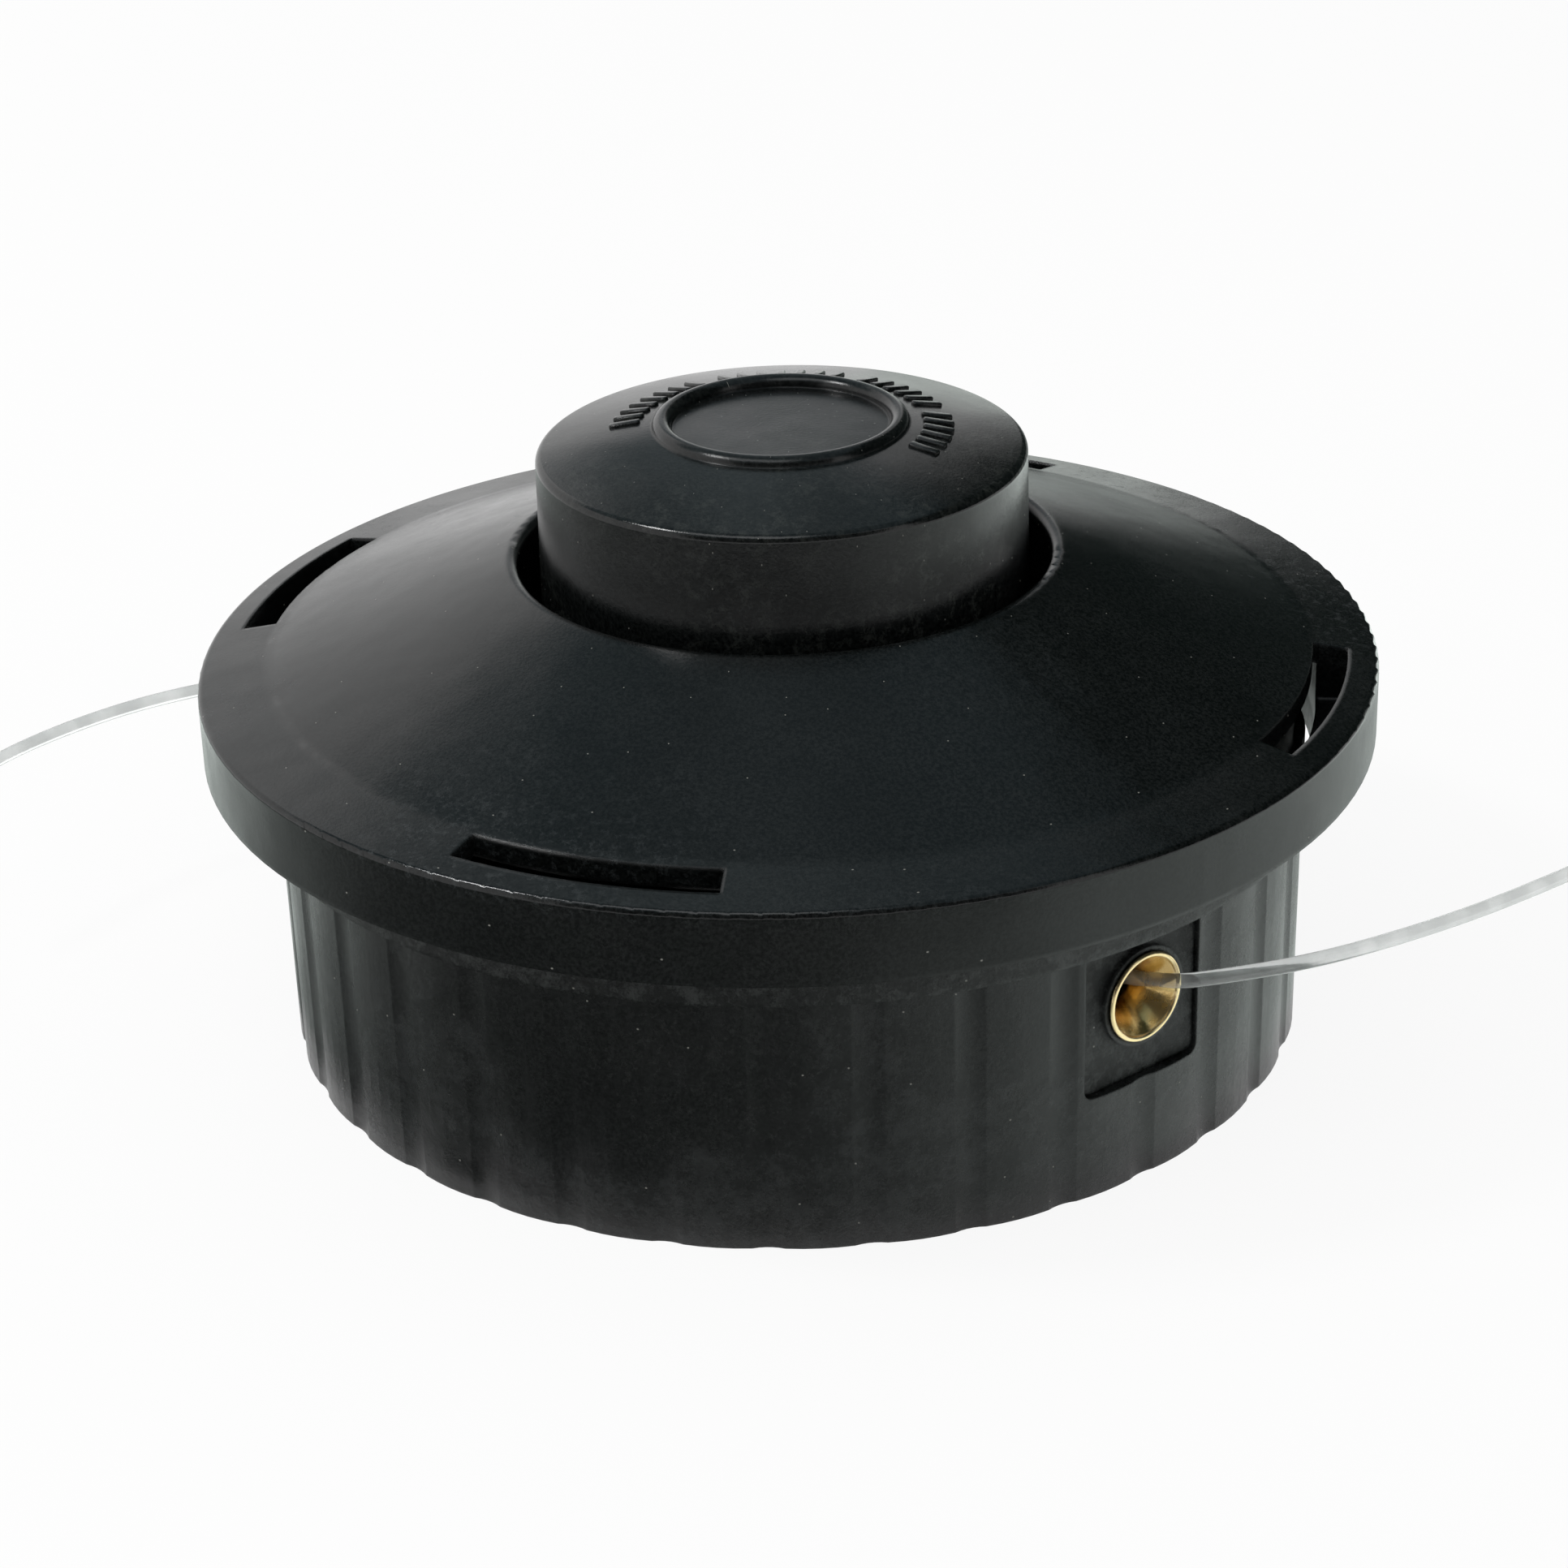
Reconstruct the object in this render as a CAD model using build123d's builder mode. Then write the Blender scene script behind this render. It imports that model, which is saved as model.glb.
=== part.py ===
from build123d import *
import math
import os

# Bump-feed trimmer head, standing on its machine side with the bump knob on top.
# The origin is the centre of the machine side, +Z runs along the turning axis,
# and the two line eyelets lie on the X axis. All sizes are millimetres.

# Housing
drum_radius = 57.2
drum_draft = 0.25
drum_wall = 2.8
drum_height = 33.0
groove_count = 34
groove_depth = 0.45
groove_width = 3.4
floor_thickness = 2.6
foot_depth = 2.4
foot_width = 6.5
floor_rib_count = 12
floor_rib_width = 2.0
hub_wall = 2.1
hub_boss_width = 3.5
hub_shoulder = 2.0

# Cover
flange_overhang = 7.8
skirt_wall = 4.7
skirt_height = 7.9
skirt_lift = 1.7
cover_wall = 2.4
land_width = 7.8
land_rise = 1.4
land_blend = 7.0
rim_edge_radius = 0.7
cone_rise = 10.8
knob_hole_gap = 2.25
hole_lip_radius = 1.0
guide_wall = 2.2
collar_gap = 0.85
collar_wall = 2.1
collar_overlap = 3.0
seat_ring_width = 1.7
spigot_wall = 1.4
spigot_gap = 0.2
spigot_depth = 2.4

# Slots above the snap ledges, measured from the X axis
slot_count = 4
slot_first_angle = 31.3
slot_arc = 26.6
slot_width = 3.8
slot_rim_margin = 3.4
snap_arc = 12.0
snap_ledge_height = 1.2
snap_reach = 0.6
snap_clearance = 0.05

# Tongues that carry the eyelets
tongue_width = 15.8
tongue_gap = 0.15
tongue_face_depth = 1.05
tongue_thickness = 3.4
tongue_bottom = 11.9
tongue_corner = 1.1
eyelet_height = 21.3

# Line eyelets
eyelet_flare_radius = 5.0
eyelet_barrel_radius = 3.2
throat_radius = 1.7
eyelet_length = 6.8
eyelet_standout = 1.25
eyelet_flare_length = 2.8
eyelet_lip = 0.6
eyelet_bell = 1.7
eyelet_bell_rise = 1.1
eyelet_bell_depth = 4.0
eyelet_clearance = 0.05
eyelet_boss_wall = 1.6
eyelet_boss_length = 1.4
seat_ring_height = 0.8
seat_ring_wall = 0.5

# Spool
travel = 5.5
turn_per_press = 15.0
tooth_count = 12
tooth_height = 2.0
tooth_tip = 3.0
tooth_ramp = 3.8
tooth_guide_gap = 0.3
tooth_length = 5.6
tooth_play = 0.4
flank_play = 0.15
spool_eyelet_room = 3.1
flange_thickness = 2.0
middle_flange_thickness = 1.2
chamber_height = 10.0
core_wall = 1.8
spring_room = 4.0
sleeve_wall = 2.1
sleeve_overlap = 10.0
running_clearance = 0.08
knob_spigot_height = 3.0
anchor_notch_width = 2.4
anchor_notch_depth = 6.0

# Bump knob
knob_radius = 26.7
knob_draft = 0.25
knob_standout = 11.1
knob_wall = 2.3
knob_crown_rise = 2.7
knob_edge_radius = 0.9
ring_radius = 12.9
ring_half_width = 1.05
crown_bulge = 0.15
dish_depth = 0.2
knob_boss_radius = 5.0
knob_rib_count = 6
knob_rib_width = 1.6
knob_rib_drop = 14.0
knob_fit = 0.05

# Steel pieces
nut_across_flats = 17.0
nut_length = 20.0
nut_bore_radius = 4.35
nut_fit = 0.05
shaft_clearance_radius = 6.5
spring_wire = 1.8
spring_turns = 7.0
washer_thickness = 0.8
washer_side_gap = 0.25
screw_head_radius = 4.2
screw_head_height = 3.0
screw_radius = 2.4
screw_length = 16.0
screw_hole_gap = 0.2
screw_tip_room = 1.0
screw_washer_radius = 5.2
press_margin = 0.8

# Line
line_diameter = 1.6
winding_depth = 17.0
winding_gap = 0.05
line_route_right = [
    (49.1, -1.07, 21.7),
    (57.0, 2.05, 21.9),
    (60.8, 9.1, 22.0),
    (63.9, 17.0, 21.9),
    (66.3, 26.0, 22.0),
    (68.0, 37.5, 21.9),
    (68.9, 49.5, 22.0),
    (68.9, 61.0, 21.8),
    (68.1, 72.0, 21.3),
]
line_route_left = [
    (-49.1, 1.07, 21.7),
    (-57.0, -2.05, 21.9),
    (-62.2, -8.2, 22.0),
    (-68.8, -17.3, 21.9),
    (-74.6, -27.2, 21.7),
    (-77.4, -38.5, 21.6),
    (-77.6, -50.0, 21.4),
    (-75.4, -61.2, 21.3),
    (-71.6, -71.0, 21.0),
]

# Radii worked out from the sizes above
drum_top_radius = drum_radius + drum_draft
drum_inner_radius = drum_radius - drum_wall
flange_radius = drum_radius + flange_overhang
land_inner_radius = flange_radius - land_width
collar_inner_radius = drum_top_radius + collar_gap
collar_radius = collar_inner_radius + collar_wall
slot_outer_radius = flange_radius - slot_rim_margin
slot_inner_radius = slot_outer_radius - slot_width
seat_ring_inner = drum_inner_radius - spigot_gap - spigot_wall
seat_ring_outer = drum_inner_radius + seat_ring_width
knob_foot_radius = knob_radius + knob_draft
knob_inner_radius = knob_radius - knob_wall
knob_hole_radius = knob_foot_radius + knob_hole_gap
tooth_inner_radius = knob_hole_radius + guide_wall + tooth_guide_gap
hub_radius = (nut_across_flats / 2 + nut_fit) / math.cos(math.pi / 6) + hub_wall
sleeve_bore = hub_radius + running_clearance
sleeve_radius = sleeve_bore + sleeve_wall
core_bore = sleeve_radius + spring_room
core_radius = core_bore + core_wall
winding_radius = core_radius + winding_depth

# Places along the eyelets' axis
tongue_face = drum_radius - tongue_face_depth
tongue_back = tongue_face - tongue_thickness
eyelet_front = tongue_face + eyelet_standout
eyelet_back = eyelet_front - eyelet_length
flare_edge = eyelet_front - eyelet_lip / 2
flare_root = flare_edge - eyelet_flare_length
throat_start = flare_edge - eyelet_bell_depth
spool_radius = eyelet_back - spool_eyelet_room

# Heights worked out from the sizes above
floor_top = foot_depth + floor_thickness
collar_bottom = drum_height - collar_overlap
skirt_bottom = drum_height + skirt_lift
rim_top = skirt_bottom + skirt_height
land_top = rim_top + land_rise
lip_top = land_top + cone_rise
lower_flange_bottom = floor_top + tooth_height + tooth_play + travel
lower_chamber = lower_flange_bottom + flange_thickness
middle_flange = lower_chamber + chamber_height
upper_chamber = middle_flange + middle_flange_thickness
upper_flange = upper_chamber + chamber_height
spool_top = upper_flange + flange_thickness
cover_tooth_root = spool_top + tooth_height + tooth_play
knob_rim = lip_top + knob_standout
knob_crown = knob_rim + knob_crown_rise
hub_top = spool_top - washer_thickness - screw_head_height - travel - press_margin
sleeve_bottom = hub_top - sleeve_overlap


def ring_section(inner, outer, bottom, top):
    """Rectangle in the section sketch between two radii and two heights."""
    with Locations(((inner + outer) / 2, (bottom + top) / 2)):
        Rectangle(outer - inner, top - bottom)


def skin_height(radius):
    """Height of the cover's outer skin at a radius, on the cone or on the land."""
    if radius > land_inner_radius:
        return rim_top + land_rise * (flange_radius - radius) / land_width
    share = (land_inner_radius - radius) / (land_inner_radius - knob_hole_radius)
    return land_top + share * cone_rise


def lobed_outline(radius):
    """Drum outline of shallow convex lobes with a soft groove between them."""
    pitch = 2 * math.pi / groove_count
    half_groove = groove_width / 2 / radius
    shoulder_radius = radius - groove_depth / 3
    valley_radius = radius - groove_depth
    for index in range(groove_count):
        valley = index * pitch
        left = valley - half_groove
        right = valley + half_groove
        middle = valley + pitch / 2
        after = valley + pitch - half_groove
        ThreePointArc(
            (shoulder_radius * math.cos(left), shoulder_radius * math.sin(left)),
            (valley_radius * math.cos(valley), valley_radius * math.sin(valley)),
            (shoulder_radius * math.cos(right), shoulder_radius * math.sin(right)),
        )
        ThreePointArc(
            (shoulder_radius * math.cos(right), shoulder_radius * math.sin(right)),
            (radius * math.cos(middle), radius * math.sin(middle)),
            (shoulder_radius * math.cos(after), shoulder_radius * math.sin(after)),
        )


# Stop tooth on the housing floor, which the pressed spool drops between
stop_tooth_base = tooth_tip + tooth_height / 2
with BuildPart() as floor_tooth:
    with BuildSketch(Plane.YZ.offset(tooth_inner_radius)):
        with BuildLine():
            Polyline(
                (-stop_tooth_base / 2, floor_top),
                (-tooth_tip / 2, floor_top + tooth_height),
                (tooth_tip / 2, floor_top + tooth_height),
                (stop_tooth_base / 2, floor_top),
                close=True,
            )
        make_face()
    extrude(amount=tooth_length)

# Snap barb on the outside of the drum's rim
barb_bottom = collar_bottom + snap_ledge_height + snap_clearance
barb_radius = collar_inner_radius - snap_reach / 2
barb_root = drum_radius - drum_wall / 2
with BuildPart() as snap_barb:
    with BuildSketch(Plane.XZ):
        with BuildLine():
            Polyline(
                (barb_root, barb_bottom),
                (barb_radius, barb_bottom),
                (barb_radius, barb_bottom + snap_reach),
                (barb_root, drum_height),
                close=True,
            )
        make_face()
    revolve(axis=Axis.Z, revolution_arc=snap_arc)

# Notch in the drum's wall for a tongue, from inside the drum outwards
notch_width = tongue_width + 2 * tongue_gap
notch_bottom = tongue_bottom - tongue_gap
notch_top = 2 * drum_height
with BuildPart() as tongue_notch:
    with BuildSketch(Plane.YZ.offset(tongue_back - tongue_gap)):
        with Locations((0, (notch_bottom + notch_top) / 2)):
            RectangleRounded(notch_width, notch_top - notch_bottom, tongue_corner)
    extrude(amount=flange_radius - tongue_back)

# Housing drum: lobed cup with a ribbed floor and a hub for the shaft nut
with BuildPart() as housing:
    with BuildSketch(Plane.XY):
        with BuildLine():
            lobed_outline(drum_radius)
        make_face()
    with BuildSketch(Plane.XY.offset(drum_height)):
        with BuildLine():
            lobed_outline(drum_top_radius)
        make_face()
    loft(ruled=True)
    with BuildSketch(Plane.XY.offset(floor_top)):
        Circle(drum_inner_radius)
    extrude(amount=drum_height, mode=Mode.SUBTRACT)
    with BuildSketch(Plane.XY):
        Circle(drum_radius - foot_width)
        Circle(hub_radius + hub_boss_width, mode=Mode.SUBTRACT)
        with PolarLocations(drum_radius / 2, floor_rib_count):
            Rectangle(drum_radius, floor_rib_width, mode=Mode.SUBTRACT)
    extrude(amount=foot_depth, mode=Mode.SUBTRACT)
    with BuildSketch(Plane.XY.offset(foot_depth)):
        Circle(hub_radius)
    extrude(amount=hub_top - foot_depth)
    with BuildSketch(Plane.XY.offset(hub_shoulder)):
        RegularPolygon(nut_across_flats / 2 + nut_fit, 6, major_radius=False)
    extrude(amount=hub_top, mode=Mode.SUBTRACT)
    with BuildSketch(Plane.XY):
        Circle(shaft_clearance_radius)
    extrude(amount=hub_shoulder, mode=Mode.SUBTRACT)
    with PolarLocations(0, 2):
        add(tongue_notch.part, mode=Mode.SUBTRACT)
    with PolarLocations(0, slot_count, start_angle=slot_first_angle - snap_arc / 2):
        add(snap_barb.part)
    with PolarLocations(0, tooth_count, start_angle=180 / tooth_count):
        add(floor_tooth.part)

# Tongue of the cover, with a countersunk hole and a raised ring for the eyelet
barrel_hole = eyelet_barrel_radius + eyelet_clearance
flare_slope = (eyelet_flare_radius - eyelet_barrel_radius) / eyelet_flare_length
eyelet_axis = Axis((0, 0, eyelet_height), (1, 0, 0))
ring_inner = eyelet_flare_radius + eyelet_clearance
with BuildPart() as tongue:
    with BuildSketch(Plane.YZ.offset(tongue_back)) as tongue_outline:
        with Locations((0, tongue_bottom)):
            Rectangle(tongue_width, drum_height + cover_wall - tongue_bottom, align=(Align.CENTER, Align.MIN))
        fillet(tongue_outline.vertices().group_by(Axis.Y)[0], radius=tongue_corner)
    extrude(amount=tongue_thickness)
    with BuildSketch(Plane.YZ.offset(tongue_back)):
        with Locations((0, collar_bottom)):
            Rectangle(tongue_width, collar_overlap + cover_wall, align=(Align.CENTER, Align.MIN))
    extrude(amount=collar_inner_radius + collar_wall / 2 - tongue_back)
    with BuildSketch(Plane.YZ.offset(tongue_face)):
        with Locations((0, eyelet_height)):
            Circle(ring_inner + seat_ring_wall)
    extrude(amount=seat_ring_height)
    with BuildSketch(Plane.YZ.offset(tongue_face)):
        with Locations((0, eyelet_height)):
            Circle(ring_inner)
    extrude(amount=seat_ring_height, mode=Mode.SUBTRACT)
    with BuildSketch(Plane.YZ.offset(tongue_back)):
        with Locations((0, eyelet_height)):
            Circle(barrel_hole + eyelet_boss_wall)
    extrude(amount=-eyelet_boss_length)
    with BuildSketch(Plane.XZ):
        with BuildLine():
            Polyline(
                (eyelet_back - 1, eyelet_height),
                (eyelet_back - 1, eyelet_height + barrel_hole),
                (flare_root, eyelet_height + barrel_hole),
                (tongue_face, eyelet_height + barrel_hole + flare_slope * (tongue_face - flare_root)),
                (tongue_face, eyelet_height),
                close=True,
            )
        make_face()
    revolve(axis=eyelet_axis, mode=Mode.SUBTRACT)

# Rib under the cone whose foot is a drive tooth for the spool
rib_outer_radius = tooth_inner_radius + tooth_length
with BuildPart() as cover_rib:
    with BuildSketch(Plane.YZ.offset(knob_hole_radius + guide_wall / 2)):
        with BuildLine():
            Polyline(
                (-tooth_ramp, cover_tooth_root),
                (0, cover_tooth_root - tooth_height),
                (tooth_tip, cover_tooth_root - tooth_height),
                (tooth_tip, lip_top),
                (0, lip_top),
                (0, cover_tooth_root + tooth_ramp),
                close=True,
            )
        make_face()
    extrude(amount=rib_outer_radius - knob_hole_radius - guide_wall / 2)
    with BuildSketch(Plane.XZ):
        with BuildLine():
            Polyline(
                (knob_hole_radius, 0),
                (knob_hole_radius, skin_height(knob_hole_radius) - cover_wall / 2),
                (flange_radius, skin_height(flange_radius) - cover_wall / 2),
                (flange_radius, 0),
                close=True,
            )
        make_face()
    revolve(axis=Axis.Z, mode=Mode.INTERSECT)

# Slot through the cover's land and the snap ledge on the collar below it
slot_floor = skirt_bottom + cover_wall
with BuildPart() as slot_core:
    with BuildSketch(Plane.XZ):
        ring_section(slot_inner_radius, slot_outer_radius, slot_floor, lip_top)
    revolve(axis=Axis.Z, revolution_arc=slot_arc)
with BuildPart() as snap_ledge:
    with BuildSketch(Plane.XZ):
        ring_section(
            collar_inner_radius - snap_reach,
            collar_inner_radius + collar_wall / 2,
            collar_bottom,
            collar_bottom + snap_ledge_height,
        )
    revolve(axis=Axis.Z, revolution_arc=snap_arc)

# Cover: cone, land, skirt, collar, seat ring and knob guide turned as one section
collar_top = skin_height(collar_radius) - cover_wall / 2
seat_ring_top = skin_height(seat_ring_outer) - cover_wall / 2
with BuildPart() as cover:
    with BuildSketch(Plane.XZ) as cover_section:
        with BuildLine():
            Polyline(
                (knob_hole_radius, lip_top - cover_wall),
                (knob_hole_radius, lip_top),
                (land_inner_radius, land_top),
                (flange_radius, rim_top),
                (flange_radius, rim_top - cover_wall),
                (land_inner_radius, land_top - cover_wall),
                close=True,
            )
        make_face()
        for x, z, radius in [
            (knob_hole_radius, lip_top, hole_lip_radius),
            (land_inner_radius, land_top, land_blend),
            (flange_radius, rim_top, rim_edge_radius),
        ]:
            fillet(cover_section.vertices().sort_by_distance((x, z))[0], radius=radius)
        ring_section(flange_radius - skirt_wall, flange_radius, skirt_bottom, rim_top - cover_wall / 2)
        ring_section(collar_inner_radius, collar_radius, collar_bottom, collar_top)
        ring_section(seat_ring_inner, seat_ring_outer, drum_height, seat_ring_top)
        ring_section(
            seat_ring_inner,
            seat_ring_inner + spigot_wall,
            drum_height - spigot_depth,
            seat_ring_top,
        )
        ring_section(
            knob_hole_radius,
            knob_hole_radius + guide_wall,
            cover_tooth_root,
            lip_top - cover_wall / 2 - hole_lip_radius,
        )
    revolve(axis=Axis.Z)
    with PolarLocations(0, tooth_count):
        add(cover_rib.part)
    with PolarLocations(0, slot_count, start_angle=slot_first_angle - slot_arc / 2):
        add(slot_core.part, mode=Mode.SUBTRACT)
    with PolarLocations(0, slot_count, start_angle=slot_first_angle - snap_arc / 2):
        add(snap_ledge.part)
    with PolarLocations(0, 2):
        add(tongue.part)

# Line eyelet: brass trumpet turned about its own axis
with BuildPart() as eyelet:
    with BuildSketch(Plane.XZ):
        with BuildLine():
            funnel_mouth = eyelet_flare_radius - eyelet_lip
            ThreePointArc(
                (flare_edge, eyelet_height + funnel_mouth),
                (flare_edge - eyelet_bell, eyelet_height + throat_radius + eyelet_bell_rise),
                (throat_start, eyelet_height + throat_radius),
            )
            Polyline(
                (throat_start, eyelet_height + throat_radius),
                (eyelet_back + eyelet_lip, eyelet_height + throat_radius),
                (eyelet_back, eyelet_height + throat_radius + eyelet_lip),
                (eyelet_back, eyelet_height + eyelet_barrel_radius),
                (flare_root, eyelet_height + eyelet_barrel_radius),
                (flare_edge, eyelet_height + eyelet_flare_radius),
            )
            ThreePointArc(
                (flare_edge, eyelet_height + eyelet_flare_radius),
                (eyelet_front, eyelet_height + eyelet_flare_radius - eyelet_lip / 2),
                (flare_edge, eyelet_height + funnel_mouth),
            )
        make_face()
    revolve(axis=eyelet_axis)

# Spool tooth that meshes under the cover, and stop tooth on the spool's lower face
spool_tooth_start = tooth_ramp + tooth_tip + flank_play
with BuildPart() as drive_tooth:
    with BuildSketch(Plane.YZ.offset(tooth_inner_radius)):
        with BuildLine():
            Polyline(
                (-spool_tooth_start, spool_top),
                (-spool_tooth_start, spool_top + tooth_height),
                (-tooth_ramp - flank_play, spool_top + tooth_height),
                (-flank_play, spool_top),
                close=True,
            )
        make_face()
    extrude(amount=tooth_length)
with BuildPart() as spool_stop_tooth:
    with BuildSketch(Plane.YZ.offset(tooth_inner_radius)):
        with BuildLine():
            Polyline(
                (-stop_tooth_base / 2, lower_flange_bottom),
                (-tooth_tip / 2, lower_flange_bottom - tooth_height),
                (tooth_tip / 2, lower_flange_bottom - tooth_height),
                (stop_tooth_base / 2, lower_flange_bottom),
                close=True,
            )
        make_face()
    extrude(amount=tooth_length)

# Spool: core, guide sleeve, three flanges and a closed top that carries the knob
stop_lead = math.degrees((stop_tooth_base + flank_play) / tooth_inner_radius)
spool_stop_angle = 180 / tooth_count - turn_per_press - stop_lead
knob_seat_radius = knob_inner_radius - knob_fit
with BuildPart() as spool:
    with BuildSketch(Plane.XZ):
        ring_section(core_bore, core_radius, lower_flange_bottom, spool_top)
        ring_section(sleeve_bore, sleeve_radius, sleeve_bottom, spool_top)
        ring_section(core_bore, spool_radius, lower_flange_bottom, lower_chamber)
        ring_section(core_bore, spool_radius, middle_flange, upper_chamber)
        ring_section(core_bore, spool_radius, upper_flange, spool_top)
        ring_section(screw_radius + screw_hole_gap, knob_seat_radius, spool_top, spool_top + knob_spigot_height)
    revolve(axis=Axis.Z)
    with PolarLocations(0, tooth_count):
        add(drive_tooth.part)
    with PolarLocations(0, tooth_count, start_angle=spool_stop_angle):
        add(spool_stop_tooth.part)
    with BuildSketch(Plane.XY.offset(middle_flange)):
        with PolarLocations(spool_radius, 2, start_angle=90):
            Rectangle(2 * anchor_notch_depth, anchor_notch_width)
    extrude(amount=middle_flange_thickness, mode=Mode.SUBTRACT)

# Bump knob: thick crown with a raised ring, thin wall and a boss for the screw
knob_foot = spool_top
knob_ceiling = knob_rim - knob_wall
boss_bottom = spool_top + knob_spigot_height
screw_top = boss_bottom - knob_spigot_height + screw_length
with BuildPart() as bump_knob:
    with BuildSketch(Plane.XZ) as knob_section:
        with BuildLine():
            Line((0, boss_bottom), (0, knob_crown - dish_depth))
            Line((0, knob_crown - dish_depth), (ring_radius - ring_half_width, knob_crown - dish_depth))
            ThreePointArc(
                (ring_radius - ring_half_width, knob_crown - dish_depth),
                (ring_radius, knob_crown + ring_half_width),
                (ring_radius + ring_half_width, knob_crown),
            )
            SagittaArc((ring_radius + ring_half_width, knob_crown), (knob_radius, knob_rim), crown_bulge)
            Polyline(
                (knob_radius, knob_rim),
                (knob_foot_radius, knob_foot),
                (knob_inner_radius, knob_foot),
                (knob_inner_radius, knob_ceiling),
                (knob_boss_radius, knob_ceiling),
                (knob_boss_radius, boss_bottom),
                (0, boss_bottom),
            )
        make_face()
        fillet(knob_section.vertices().sort_by_distance((knob_radius, knob_rim))[0], radius=knob_edge_radius)
    revolve(axis=Axis.Z)
    with BuildSketch(Plane.XY.offset(knob_ceiling - knob_rib_drop)):
        with PolarLocations((knob_boss_radius + knob_inner_radius) / 2, knob_rib_count):
            Rectangle(knob_inner_radius - knob_boss_radius + knob_wall, knob_rib_width)
    extrude(amount=knob_rib_drop + knob_wall / 2)
    with BuildSketch(Plane.XY.offset(boss_bottom)):
        Circle(screw_radius)
    extrude(amount=screw_top + screw_tip_room - boss_bottom, mode=Mode.SUBTRACT)

# Hexagon nut that takes the machine's shaft from below
with BuildPart() as shaft_nut:
    with BuildSketch(Plane.XY.offset(hub_shoulder)):
        RegularPolygon(nut_across_flats / 2, 6, major_radius=False)
        Circle(nut_bore_radius, mode=Mode.SUBTRACT)
    extrude(amount=nut_length)
    chamfer(shaft_nut.edges().filter_by(GeomType.CIRCLE), length=0.6)

# Washers at both ends of the spring
washer_inner = sleeve_radius + washer_side_gap
washer_outer = core_bore - washer_side_gap
with BuildPart() as spring_foot_washer:
    with BuildSketch(Plane.XZ):
        ring_section(washer_inner, washer_outer, floor_top, floor_top + washer_thickness)
    revolve(axis=Axis.Z)
with BuildPart() as spring_seat:
    with BuildSketch(Plane.XZ):
        ring_section(washer_inner, washer_outer, spool_top - washer_thickness, spool_top)
    revolve(axis=Axis.Z)

# Compression spring with ground ends
spring_bottom = floor_top + washer_thickness
spring_top = spool_top - washer_thickness
spring_radius = (sleeve_radius + core_bore) / 2
spring_pitch = (spring_top - spring_bottom) / spring_turns
with BuildPart() as spring:
    with BuildLine() as spring_line:
        coil = Helix(spring_pitch, spring_top - spring_bottom, spring_radius, center=(0, 0, spring_bottom))
    with BuildSketch(Plane(origin=coil @ 0, z_dir=coil % 0)):
        Circle(spring_wire / 2)
    sweep(is_frenet=True)
    with BuildSketch(Plane.XZ):
        ring_section(sleeve_radius, core_bore, spring_bottom, spring_top)
    revolve(axis=Axis.Z, mode=Mode.INTERSECT)

# Screw and washer that hold the knob to the spool
screw_head_top = spool_top - washer_thickness
with BuildPart() as knob_screw:
    with BuildSketch(Plane.XZ):
        ring_section(0, screw_head_radius, screw_head_top - screw_head_height, screw_head_top)
        ring_section(0, screw_radius, screw_head_top, screw_top)
    revolve(axis=Axis.Z)
    with BuildSketch(Plane.XY.offset(screw_head_top - screw_head_height)):
        RegularPolygon(screw_radius, 6)
    extrude(amount=screw_head_height / 2, mode=Mode.SUBTRACT)
with BuildPart() as knob_screw_washer:
    with BuildSketch(Plane.XZ):
        ring_section(screw_radius + screw_hole_gap, screw_washer_radius, screw_head_top, spool_top)
    revolve(axis=Axis.Z)

# Wound coils of line, each one closed roll with a turn's ripple on its outside
coil_turns = int(chamber_height / line_diameter)
coil_height = chamber_height - 2 * winding_gap
ripple = coil_height / coil_turns
with BuildPart() as winding_lower:
    with BuildSketch(Plane.XZ):
        with BuildLine():
            wound_bottom = lower_chamber + winding_gap
            wound_inner = core_radius + winding_gap
            for turn in range(coil_turns):
                low = wound_bottom + turn * ripple
                ThreePointArc(
                    (winding_radius - ripple / 4, low),
                    (winding_radius, low + ripple / 2),
                    (winding_radius - ripple / 4, low + ripple),
                )
            Polyline(
                (winding_radius - ripple / 4, wound_bottom + coil_height),
                (wound_inner, wound_bottom + coil_height),
                (wound_inner, wound_bottom),
                (winding_radius - ripple / 4, wound_bottom),
            )
        make_face()
    revolve(axis=Axis.Z)
with BuildPart() as winding_upper:
    with Locations((0, 0, upper_chamber - lower_chamber)):
        add(winding_lower.part)

# The second eyelet stands opposite the first one
with BuildPart() as opposite_eyelet:
    with PolarLocations(0, 1, start_angle=180):
        add(eyelet.part)


def route_radii(points):
    """Bend radii that keep a short straight stretch between the bends of a line."""
    radii = []
    for before, corner, after in zip(points, points[1:], points[2:]):
        inward = Vector(*corner) - Vector(*before)
        outward = Vector(*after) - Vector(*corner)
        half_turn = math.radians(inward.get_angle(outward) / 2)
        radii.append(0.45 * min(inward.length, outward.length) / math.tan(half_turn))
    return radii


# Free line ends, from inside each eyelet out to the cut end
with BuildPart() as line_end_right:
    with BuildLine() as right_path:
        FilletPolyline(*line_route_right, radius=route_radii(line_route_right))
    with BuildSketch(Plane(origin=right_path.line @ 0, z_dir=right_path.line % 0)):
        Circle(line_diameter / 2)
    sweep()
with BuildPart() as line_end_left:
    with BuildLine() as left_path:
        FilletPolyline(*line_route_left, radius=route_radii(line_route_left))
    with BuildSketch(Plane(origin=left_path.line @ 0, z_dir=left_path.line % 0)):
        Circle(line_diameter / 2)
    sweep()

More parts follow.
